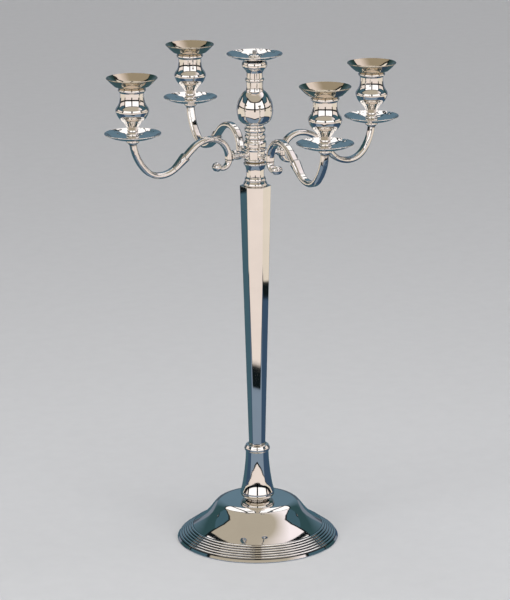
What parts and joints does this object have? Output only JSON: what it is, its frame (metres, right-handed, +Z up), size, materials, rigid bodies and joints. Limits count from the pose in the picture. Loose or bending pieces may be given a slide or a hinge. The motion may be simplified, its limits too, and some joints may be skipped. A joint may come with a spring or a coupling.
{
  "type": "candelabrum",
  "caption": "Tall plated candelabrum: ribbed round foot, tapering hexagonal stem, lift-out scroll arms round a turned column, drip trays, vase-shaped cups and loose nozzles.",
  "frame": {"origin": "on the table, under the middle of the round foot", "axes": "+Z up along the stem; the arms lie along -X (left), +X (right), -Y (front) and +Y (back)"},
  "size_m": [0.3936, 0.3936, 0.61],
  "materials": {
    "plated_foot": "bright nickel plate, polished, spun sheet",
    "plated_shaft": "bright nickel plate, polished, drawn lengthwise",
    "plated_turning": "bright nickel plate, polished turnings",
    "plated_casting": "bright nickel plate over a softened casting",
    "plated_tray": "bright nickel plate, spun, fine wiping marks",
    "plated_liner": "bright nickel plate with a little wax haze inside",
    "steel": "plain zinc-plated steel",
    "brass": "plain turned brass",
    "cast_iron": "rough casting, painted dark",
    "felt": "dark green baize"
  },
  "bodies": {
    "stand": {"base_pad": "felt", "base_weight": "cast_iron", "base_shell": "plated_foot", "tie_rod_washer": "steel", "tie_rod_nut": "steel", "stem_seat_ring": "plated_turning", "stem_socket": "plated_turning", "shaft_lower_plug": "brass", "stem_shaft": "plated_shaft", "shaft_upper_plug": "brass", "stem_capital": "plated_turning", "tie_rod": "steel"},
    "spigot": {"branch_spigot": "plated_turning", "pivot_bearing": "brass"},
    "branches": {"arm_back": "plated_casting", "arm_bar_back": "plated_casting", "arm_bar_front": "plated_casting", "arm_bar_left": "plated_casting", "arm_bar_right": "plated_casting", "arm_front": "plated_casting", "arm_left": "plated_casting", "arm_right": "plated_casting", "branch_hub": "plated_turning", "centre_boss": "plated_turning", "centre_rod": "steel", "centre_tray": "plated_tray", "column_beads": "plated_turning", "column_bowl": "plated_turning", "column_bulb": "plated_turning", "column_neck": "plated_turning", "column_rings": "plated_turning", "cup_back": "plated_turning", "cup_collar_back": "plated_turning", "cup_collar_front": "plated_turning", "cup_collar_left": "plated_turning", "cup_collar_right": "plated_turning", "cup_front": "plated_turning", "cup_left": "plated_turning", "cup_right": "plated_turning", "cup_screw_back": "steel", "cup_screw_front": "steel", "cup_screw_left": "steel", "cup_screw_right": "steel", "tray_back": "plated_tray", "tray_front": "plated_tray", "tray_left": "plated_tray", "tray_right": "plated_tray"},
    "nozzle_left": {"nozzle_left": "plated_liner"},
    "nozzle_right": {"nozzle_right": "plated_liner"},
    "nozzle_front": {"nozzle_front": "plated_liner"},
    "nozzle_back": {"nozzle_back": "plated_liner"}
  },
  "joints": [
    {"name": "branch_lift", "type": "slide", "parent": "stand", "child": "spigot", "axis": [0, 0, 1], "range_m": [0, 0.024]},
    {"name": "branch_swivel", "type": "hinge", "parent": "spigot", "child": "branches", "pos_m": [0, 0, 0.476], "axis": [0, 0, 1], "continuous": true},
    {"name": "nozzle_left_lift", "type": "slide", "parent": "branches", "child": "nozzle_left", "axis": [0, 0, 1], "range_m": [0, 0.034]},
    {"name": "nozzle_right_lift", "type": "slide", "parent": "branches", "child": "nozzle_right", "axis": [0, 0, 1], "range_m": [0, 0.034]},
    {"name": "nozzle_front_lift", "type": "slide", "parent": "branches", "child": "nozzle_front", "axis": [0, 0, 1], "range_m": [0, 0.034]},
    {"name": "nozzle_back_lift", "type": "slide", "parent": "branches", "child": "nozzle_back", "axis": [0, 0, 1], "range_m": [0, 0.034]}
  ]
}
